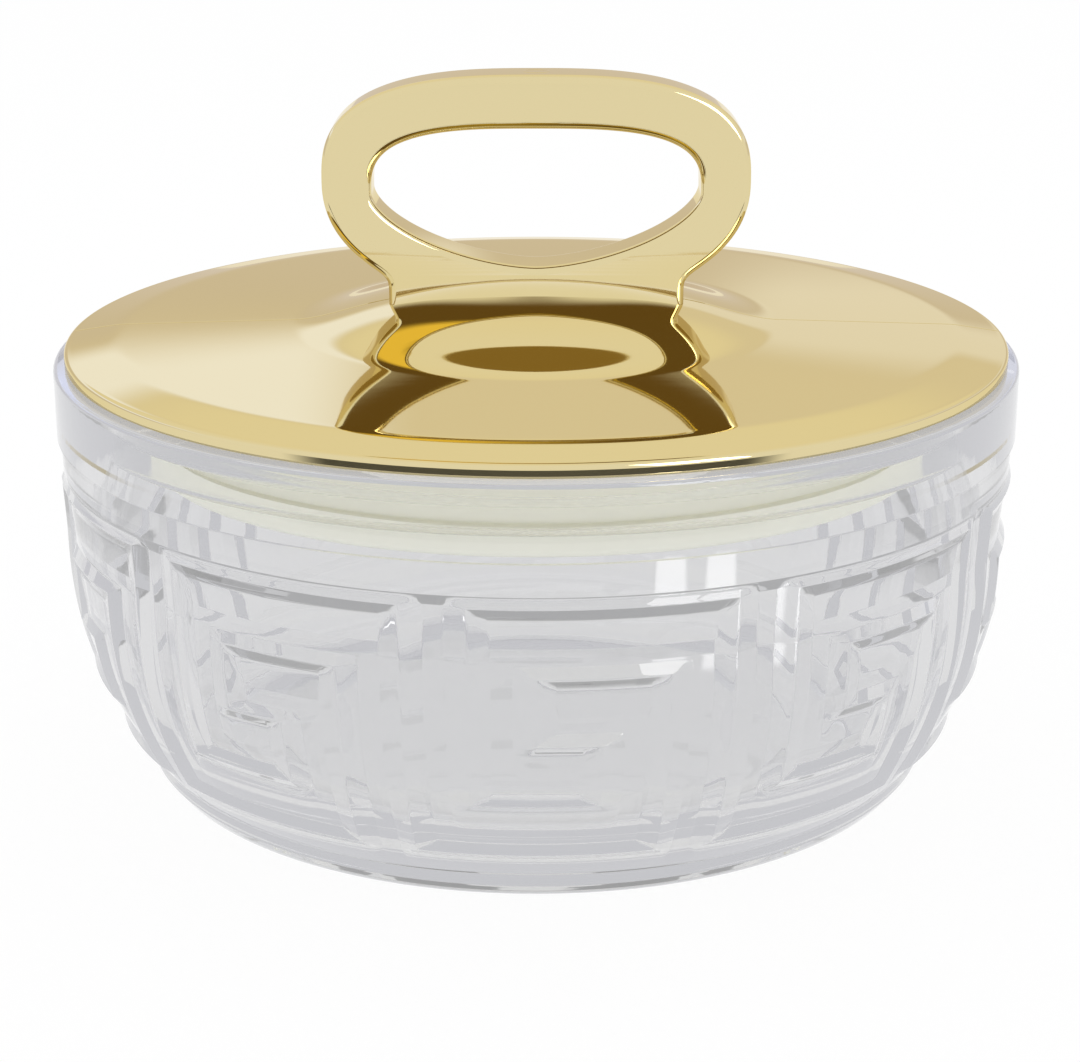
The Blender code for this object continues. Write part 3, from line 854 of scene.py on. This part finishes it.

# %% [markdown]
# ## Painted light of the window on the table
# Upright faces mirror the table in front of the jar, where painted light of a window with two panes lies
# in two strips. A lamp's own light on the table would be a soft pool, so each strip is a painted mask in
# the table's plane, turned to the pane's direction.

# %% Painted window light
PANE_AZIMUTHS = (31.0, 43.0)
WINDOW_STRIP_WIDTH = 0.016
WINDOW_STRIP_SIDES = (0.6, 0.4)
WINDOW_STRIP_ENDS = (0.085, 0.140)
WINDOW_STRIP_FADE = 0.01
# Painted highlight: the strength at which mirrors see the window's strips on the table.
PAINTED_WINDOW_LEVEL = 7.0


def painted_window_light(nodes, link, place, azimuth):
    """A mask of painted light for one window pane, a strip that runs out from the jar's front."""
    turned = nodes.new('ShaderNodeMapping')
    turned.vector_type = 'TEXTURE'
    halfway = math.radians(0.5 * azimuth)
    on_wall = (RIM_RADIUS * math.sin(halfway), -RIM_RADIUS * math.cos(halfway), 0.0)
    turned.inputs["Location"].default_value = on_wall
    turned.inputs["Rotation"].default_value = (0.0, 0.0, math.radians(azimuth))
    link(place, turned.inputs["Vector"])
    split = nodes.new('ShaderNodeSeparateXYZ')
    link(turned.outputs[0], split.inputs[0])
    across = nodes.new('ShaderNodeMath')
    across.operation = 'ABSOLUTE'
    link(split.outputs["X"], across.inputs[0])
    outer, inner = (part * WINDOW_STRIP_WIDTH for part in WINDOW_STRIP_SIDES)
    inside = soft_step(nodes, link, across.outputs[0], outer, inner)
    near_end, far_end = WINDOW_STRIP_ENDS
    beyond = soft_step(nodes, link, split.outputs["Y"], WINDOW_STRIP_FADE - near_end, -near_end)
    before = soft_step(nodes, link, split.outputs["Y"], -WINDOW_STRIP_FADE - far_end, -far_end)
    return mix_values(nodes, link, 0.0, mix_values(nodes, link, 0.0, inside, beyond), before)


print("window strips at", PANE_AZIMUTHS, "degrees")

# %% [markdown]
# ## A painted dark reflection for the lid's edge
# On the real lid a fine dark line runs along the front of its edge. In a studio a dark card, bent round
# the front of the jar and out of the picture, draws such a line. Here no card is built: a dark mask on
# the table paints that reflection, a part of a ring at the distance that the upright edge mirrors, which
# only mirrors see.

# %% Painted dark reflection
CARD_RADII = (0.244, 0.268)
CARD_SOFTNESS = 0.004
CARD_FRONT = (-0.150, -0.190)
# Painted reflection: the tone that the lid's edge mirrors as a dark line.
PAINTED_REFLECTION_TONE = 0.02


def painted_dark_reflection(nodes, link, place, along):
    """A mask for the painted dark reflection, a part of a ring in front of the jar."""
    reach = nodes.new('ShaderNodeVectorMath')
    reach.operation = 'LENGTH'
    link(place, reach.inputs[0])
    near, far = CARD_RADII
    radius = reach.outputs["Value"]
    beyond = soft_step(nodes, link, radius, near - CARD_SOFTNESS, near + CARD_SOFTNESS)
    within = soft_step(nodes, link, radius, far + CARD_SOFTNESS, far - CARD_SOFTNESS)
    ring = mix_values(nodes, link, 0.0, beyond, within)
    return mix_values(nodes, link, 0.0, ring, soft_step(nodes, link, along, *CARD_FRONT))


print("dark card from", CARD_RADII[0], "to", CARD_RADII[1])

# %% [markdown]
# ## The table
# The jar stands on a pale table that goes to white for the camera and still keeps a soft shadow. What
# clear plastic shows is what lies behind it: the pale table near by, and a dimmer room further back,
# which draws the dark strips under the key's line. Dark planes behind the jar would show in other views
# too, so rays that come through the plastic see painted shade on the table that falls off behind the jar.

# %% Table
TABLE_HALF = 6.0
TABLE_DROP = 0.0002
PAPER_COLOUR = (0.84, 0.84, 0.85, 1.0)
PAPER_ROUGHNESS = 0.9
NEAR_TONE = 0.70
FAR_TONE = 0.26
SHADE_FALL_OFF = (0.07, 0.16)
MIRROR_SHARE = 0.92
THROUGH_SHARE = 0.85
CAMERA_SHARE = 0.94


def table_paper():
    """Matte pale paper: white for the camera, painted shade through clear plastic, painted light for
    mirrors.
    """
    paper = bpy.data.materials.new("TablePaper")
    paper.use_nodes = True
    nodes = paper.node_tree.nodes
    link = paper.node_tree.links.new
    shader = nodes["Principled BSDF"]
    shader.inputs["Base Color"].default_value = PAPER_COLOUR
    shader.inputs["Roughness"].default_value = PAPER_ROUGHNESS
    place = nodes.new('ShaderNodeTexCoord')
    split = nodes.new('ShaderNodeSeparateXYZ')
    link(place.outputs["Object"], split.inputs[0])
    # Painted shade: the table darkens behind the jar for rays through clear plastic.
    behind = soft_step(nodes, link, split.outputs["Y"], *SHADE_FALL_OFF)
    path = nodes.new('ShaderNodeLightPath')
    tone = mix_values(nodes, link, NEAR_TONE, FAR_TONE, behind)
    level = 1.0
    for azimuth in PANE_AZIMUTHS:
        # Painted window light on the table, seen only by mirrors.
        strip = painted_window_light(nodes, link, place.outputs["Object"], azimuth)
        level = mix_values(nodes, link, level, PAINTED_WINDOW_LEVEL, strip)
    # Painted dark reflection on the table, for the lid's edge.
    card = painted_dark_reflection(nodes, link, place.outputs["Object"], split.outputs["Y"])
    level = mix_values(nodes, link, level, PAINTED_REFLECTION_TONE, card)
    level = mix_values(nodes, link, 1.0, level, path.outputs["Is Glossy Ray"])
    through = seen_through(nodes, link, path)
    level = mix_values(nodes, link, level, tone, through)
    share = mix_values(nodes, link, 0.0, MIRROR_SHARE, path.outputs["Is Glossy Ray"])
    share = mix_values(nodes, link, share, THROUGH_SHARE, through)
    share = mix_values(nodes, link, share, CAMERA_SHARE, path.outputs["Is Camera Ray"])
    glow = nodes.new('ShaderNodeEmission')
    link(level, glow.inputs["Strength"])
    choose = nodes.new('ShaderNodeMixShader')
    link(share, choose.inputs["Fac"])
    link(shader.outputs[0], choose.inputs[1])
    link(glow.outputs[0], choose.inputs[2])
    link(choose.outputs[0], nodes["Material Output"].inputs["Surface"])
    return paper


table_mesh = bpy.data.meshes.new("table")
bm = bmesh.new()
bmesh.ops.create_grid(bm, x_segments=1, y_segments=1, size=TABLE_HALF)
bm.to_mesh(table_mesh)
bm.free()
table_mesh.materials.append(table_paper())
table = bpy.data.objects.new("table", table_mesh)
table.location = (0.0, 0.0, -TABLE_DROP)
bpy.context.scene.collection.objects.link(table)
print("table tones near and far:", NEAR_TONE, FAR_TONE)

# %% [markdown]
# ## Helpers for the room
# A mirror finish shows its room, so the room needs some layers of colour, each laid over the last by a
# mask. An image of a studio would do it too, but this script reads no files. Three steps are enough: mix
# two colours, multiply two masks, and count how often a ray was mirrored.

# %% Room helpers
COLOUR_SOCKETS = (6, 7)
COLOUR_RESULT = 2


def mix_colours(nodes, link, low, high, factor):
    """A Mix node between two colours or sockets."""
    node = nodes.new('ShaderNodeMix')
    node.data_type = 'RGBA'
    for index, colour in zip(COLOUR_SOCKETS, (low, high)):
        if isinstance(colour, tuple):
            node.inputs[index].default_value = colour
        else:
            link(colour, node.inputs[index])
    link(factor, node.inputs["Factor"])
    return node.outputs[COLOUR_RESULT]


def both(nodes, link, first, second):
    """The product of two masks."""
    node = nodes.new('ShaderNodeMath')
    node.operation = 'MULTIPLY'
    link(first, node.inputs[0])
    link(second, node.inputs[1])
    return node.outputs[0]


def mirrored_beyond(nodes, link, path, bounces):
    """1 for rays with more glossy bounces than the number given."""
    node = nodes.new('ShaderNodeMath')
    node.operation = 'GREATER_THAN'
    node.inputs[1].default_value = bounces
    link(path.outputs["Glossy Depth"], node.inputs[0])
    return node.outputs[0]


print("room:", mix_colours.__name__, both.__name__, mirrored_beyond.__name__)

# %% [markdown]
# ## The wall behind the jar
# The plate of the lid shows the wall behind the jar. It is dimmer near the horizon, with a window on each
# side that lets in cool daylight. Each layer starts at a height, given as the upward part of a ray's
# direction, and each window has a sill, a head and a side.

# %% Wall behind the jar
LOW_WALL = (0.78, 0.75, 0.81, 1.0)
MIDDLE_WALL = (0.89, 0.86, 0.86, 1.0)
HIGH_WALL = (0.99, 0.96, 0.87, 1.0)
LEFT_DAYLIGHT = (1.14, 1.24, 1.76, 1.0)
RIGHT_DAYLIGHT = (1.00, 1.03, 1.26, 1.0)
MIDDLE_WALL_START = (0.18, 0.30)
HIGH_WALL_START = (0.32, 0.46)
LEFT_WINDOW = ((0.22, 0.27), (0.40, 0.34), (-0.05, -0.11))
RIGHT_WINDOW = ((0.14, 0.20), (0.28, 0.25), (0.05, 0.11))


def window_mask(nodes, link, aside, up, window):
    """A mask for a window: above its sill, below its head and beyond its side."""
    sill, head, side = window
    height = both(nodes, link, soft_step(nodes, link, up, *sill), soft_step(nodes, link, up, *head))
    return both(nodes, link, height, soft_step(nodes, link, aside, *side))


def wall_behind(nodes, link, aside, up):
    """The colour of the wall with its two windows."""
    layers = [(MIDDLE_WALL, soft_step(nodes, link, up, *MIDDLE_WALL_START))]
    layers.append((HIGH_WALL, soft_step(nodes, link, up, *HIGH_WALL_START)))
    layers.append((LEFT_DAYLIGHT, window_mask(nodes, link, aside, up, LEFT_WINDOW)))
    layers.append((RIGHT_DAYLIGHT, window_mask(nodes, link, aside, up, RIGHT_WINDOW)))
    wall = LOW_WALL
    for colour, mask in layers:
        wall = mix_colours(nodes, link, wall, colour, mask)
    return wall


print("wall behind: windows from", LEFT_WINDOW[0][0], "and", RIGHT_WINDOW[0][0], "up")

# %% [markdown]
# ## The room on the camera's side
# The swelling of the lid and the handle show each other, and through two reflections the room on the
# camera's side. It has layers: daylight low down, then a dark part, a warm lamp on the left, a dim
# ceiling and white overhead.

# %% Room on the camera's side
WHITE = (1.0, 1.0, 1.0, 1.0)
LOW_DAYLIGHT = (1.30, 1.52, 2.60, 1.0)
DARK_PART = (0.20, 0.14, 0.06, 1.0)
WARM_LAMP = (1.40, 1.15, 0.30, 1.0)
DIM_CEILING = (0.21, 0.15, 0.045, 1.0)
DARK_START = (0.25, 0.31)
LAMP_START = (0.44, 0.50)
LAMP_SIDE = (0.06, -0.08)
CEILING_START = (0.57, 0.64)
OVERHEAD_START = (0.80, 0.88)


def camera_side(nodes, link, aside, up):
    """The colour of the room that lies on the camera's side."""
    lamp = both(nodes, link, soft_step(nodes, link, up, *LAMP_START),
                soft_step(nodes, link, aside, *LAMP_SIDE))
    layers = [(DARK_PART, soft_step(nodes, link, up, *DARK_START)), (WARM_LAMP, lamp)]
    layers.append((DIM_CEILING, soft_step(nodes, link, up, *CEILING_START)))
    layers.append((WHITE, soft_step(nodes, link, up, *OVERHEAD_START)))
    room = LOW_DAYLIGHT
    for colour, mask in layers:
        room = mix_colours(nodes, link, room, colour, mask)
    return room


print("camera's side: lamp from", LAMP_START[0], "to", CEILING_START[1], "up")

# %% [markdown]
# ## The world
# The world puts the room together. Only rays with two glossy bounces meet the camera's side, so the clear
# wall stays clean, and rays with three are deep inside the loop and meet a dim tone. Rays through clear
# plastic see an even tone that is dimmer low down far behind the jar. Matte pieces only need even light,
# and the camera itself sees plain white.

# %% World
DEEP_TONE = (0.53, 0.46, 0.34, 1.0)
CLEAR_TONE = (0.64, 0.64, 0.64, 1.0)
CLEAR_FAR = (FAR_TONE, FAR_TONE, FAR_TONE, 1.0)
ONE_BOUNCE = 1.5
TWO_BOUNCES = 2.5
TOWARDS_CAMERA = (-0.25, -0.40)
TOWARDS_WALL = (-0.2, 0.3)
FAR_AHEAD = (0.55, 0.85)
FAR_LOW = (0.35, 0.15)


def studio_world():
    """An even room, with its own tones for mirrors and for rays through clear plastic."""
    world = bpy.data.worlds.new("Studio")
    world.use_nodes = True
    nodes = world.node_tree.nodes
    link = world.node_tree.links.new
    place = nodes.new('ShaderNodeTexCoord')
    split = nodes.new('ShaderNodeSeparateXYZ')
    link(place.outputs["Generated"], split.inputs[0])
    aside, away, up = split.outputs
    path = nodes.new('ShaderNodeLightPath')
    twice = both(nodes, link, mirrored_beyond(nodes, link, path, ONE_BOUNCE),
                 soft_step(nodes, link, away, *TOWARDS_CAMERA))
    far = both(nodes, link, soft_step(nodes, link, away, *FAR_AHEAD),
               soft_step(nodes, link, up, *FAR_LOW))
    wall = wall_behind(nodes, link, aside, up)
    shown = mix_colours(nodes, link, WHITE, wall, soft_step(nodes, link, away, *TOWARDS_WALL))
    shown = mix_colours(nodes, link, shown, camera_side(nodes, link, aside, up), twice)
    deep = mirrored_beyond(nodes, link, path, TWO_BOUNCES)
    shown = mix_colours(nodes, link, shown, DEEP_TONE, deep)
    clear_room = mix_colours(nodes, link, CLEAR_TONE, CLEAR_FAR, far)
    room = mix_colours(nodes, link, WHITE, shown, path.outputs["Is Glossy Ray"])
    room = mix_colours(nodes, link, room, clear_room, seen_through(nodes, link, path))
    room = mix_colours(nodes, link, room, WHITE, path.outputs["Is Camera Ray"])
    link(room, nodes["Background"].inputs["Color"])
    return world


bpy.context.scene.world = studio_world()
print("world", bpy.context.scene.world.name)

# %% [markdown]
# ## Lamps
# A large soft box overhead gives the soft shadow, and mirrors don't show it. A window of two panes, up to
# the right of the camera, makes the small bright patches on the clear wall. Matte pieces don't feel it,
# so they aren't burnt out, and clear pieces don't show it from behind. Area lamps suit both, because
# they have a shape and soft shadows.

# %% Lamps
TOP_BOX_PLACE = (0.0, 0.1, 0.9)
TOP_BOX_SIDE = 0.9
TOP_BOX_POWER = 2.0
WINDOW_DISTANCE = 0.80
WINDOW_RISE = math.radians(30)
PANE_WIDTH = 0.14
PANE_HEIGHT = 0.50
PANE_POWER = 1.2


def soft_box(name, location, size_x, size_y, power):
    """An area lamp that faces the middle of the jar."""
    lamp = bpy.data.lights.new(name, 'AREA')
    lamp.shape = 'RECTANGLE'
    lamp.size = size_x
    lamp.size_y = size_y
    lamp.energy = power
    box = bpy.data.objects.new(name, lamp)
    box.location = location
    towards_jar = Vector((0.0, 0.0, 0.5 * BOWL_HEIGHT)) - Vector(location)
    box.rotation_euler = towards_jar.to_track_quat('-Z', 'Y').to_euler()
    bpy.context.scene.collection.objects.link(box)
    print(f"{name}: {power} W")
    return box


top_box = soft_box("top_box", TOP_BOX_PLACE, TOP_BOX_SIDE, TOP_BOX_SIDE, TOP_BOX_POWER)
top_box.visible_glossy = False
window_reach = WINDOW_DISTANCE * math.cos(WINDOW_RISE)
window_height = WINDOW_DISTANCE * math.sin(WINDOW_RISE)
for label, azimuth in zip(("left", "right"), PANE_AZIMUTHS):
    angle = math.radians(azimuth)
    pane_place = (window_reach * math.sin(angle), -window_reach * math.cos(angle), window_height)
    pane = soft_box("pane_" + label, pane_place, PANE_WIDTH, PANE_HEIGHT, PANE_POWER)
    pane.visible_diffuse = False
    pane.visible_transmission = False

# %% [markdown]
# ## Camera
# The camera's place and pitch were fitted to the ellipses of the lid and the rim, with an 85 mm lens. A
# constraint could aim it at the jar, but then the fitted pitch would be lost, so it is set as an angle.

# %% Camera
LENS = 85.0
SENSOR_WIDTH = 36.0
CAMERA_PLACE = (0.0005, -0.3388, 0.1433)
CAMERA_PITCH = math.radians(90.0 - 18.27)
camera = bpy.data.objects.new("camera", bpy.data.cameras.new("camera"))
camera.data.lens = LENS
camera.data.sensor_width = SENSOR_WIDTH
camera.location = CAMERA_PLACE
camera.rotation_euler = (CAMERA_PITCH, 0.0, 0.0)
bpy.context.scene.collection.objects.link(camera)
bpy.context.scene.camera = camera
bpy.context.scene.view_settings.view_transform = 'Standard'
print("camera at", tuple(round(value, 4) for value in camera.location))
